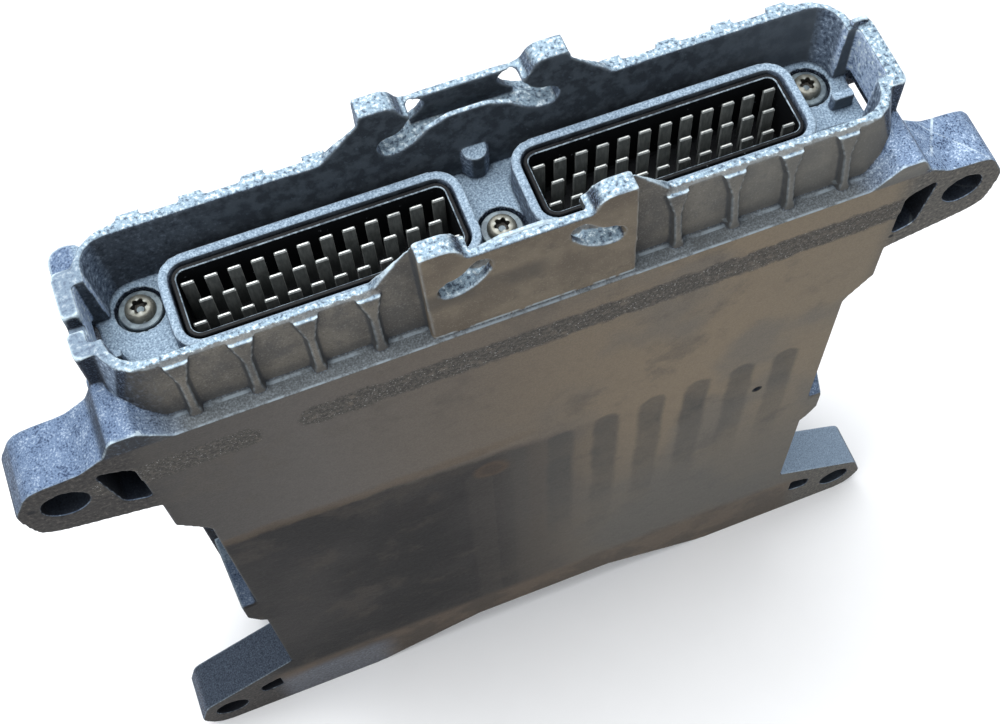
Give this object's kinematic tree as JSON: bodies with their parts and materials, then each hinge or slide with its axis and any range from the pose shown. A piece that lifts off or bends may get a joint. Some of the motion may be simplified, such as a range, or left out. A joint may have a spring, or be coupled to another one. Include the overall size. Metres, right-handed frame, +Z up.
{
  "type": "engine control unit",
  "caption": "Engine control unit: a cast aluminium box with bolt lugs and two pin connectors in a walled bay on top.",
  "frame": {"origin": "middle of the base: halfway between the sides and between the front mounting face and the rear cover, level with the undersides of the lower lugs", "axes": "+X to the right seen from the front, +Y from the front mounting face to the rear cover, +Z up to the connectors"},
  "size_m": [0.23, 0.048, 0.2331],
  "materials": {
    "cast_aluminium": "matt die casting with a mottled grey skin and a brown film on its face",
    "sheet_steel": "plain",
    "plated_steel": "dull yellow-grey plating",
    "black_plastic": "matt black",
    "silicone": "matt dark grey",
    "board": "satin green",
    "chip": "matt black",
    "can": "bright drawn can",
    "coil": "lacquered copper winding",
    "pad": "matt pale blue"
  },
  "bodies": {
    "root": {"housing": "cast_aluminium", "rear_cover": "cast_aluminium", "header_bracket": "sheet_steel", "cover_screw_1": "plated_steel", "cover_screw_2": "plated_steel", "cover_screw_3": "plated_steel", "cover_screw_4": "plated_steel", "cover_screw_5": "plated_steel", "cover_screw_6": "plated_steel", "cover_screw_7": "plated_steel", "cover_screw_8": "plated_steel", "cover_screw_9": "plated_steel", "bay_screw_left": "plated_steel", "bay_screw_middle": "plated_steel", "bay_screw_right": "plated_steel", "bay_washer_left": "plated_steel", "bay_washer_middle": "plated_steel", "bay_washer_right": "plated_steel", "board_screw_1": "plated_steel", "board_screw_2": "plated_steel", "board_screw_3": "plated_steel", "board_screw_4": "plated_steel", "connector_header_left": "black_plastic", "connector_header_right": "black_plastic", "pressure_sensor": "black_plastic", "cover_gasket": "silicone", "header_seal_left": "silicone", "header_seal_right": "silicone", "circuit_board": "board", "processor": "chip", "memory_chip": "chip", "driver_chip_1": "chip", "driver_chip_2": "chip", "driver_chip_3": "chip", "driver_chip_4": "chip", "crystal": "can", "capacitor_1": "can", "capacitor_2": "can", "capacitor_3": "can", "boost_coil": "coil", "thermal_pad": "pad"}
  },
  "joints": []
}
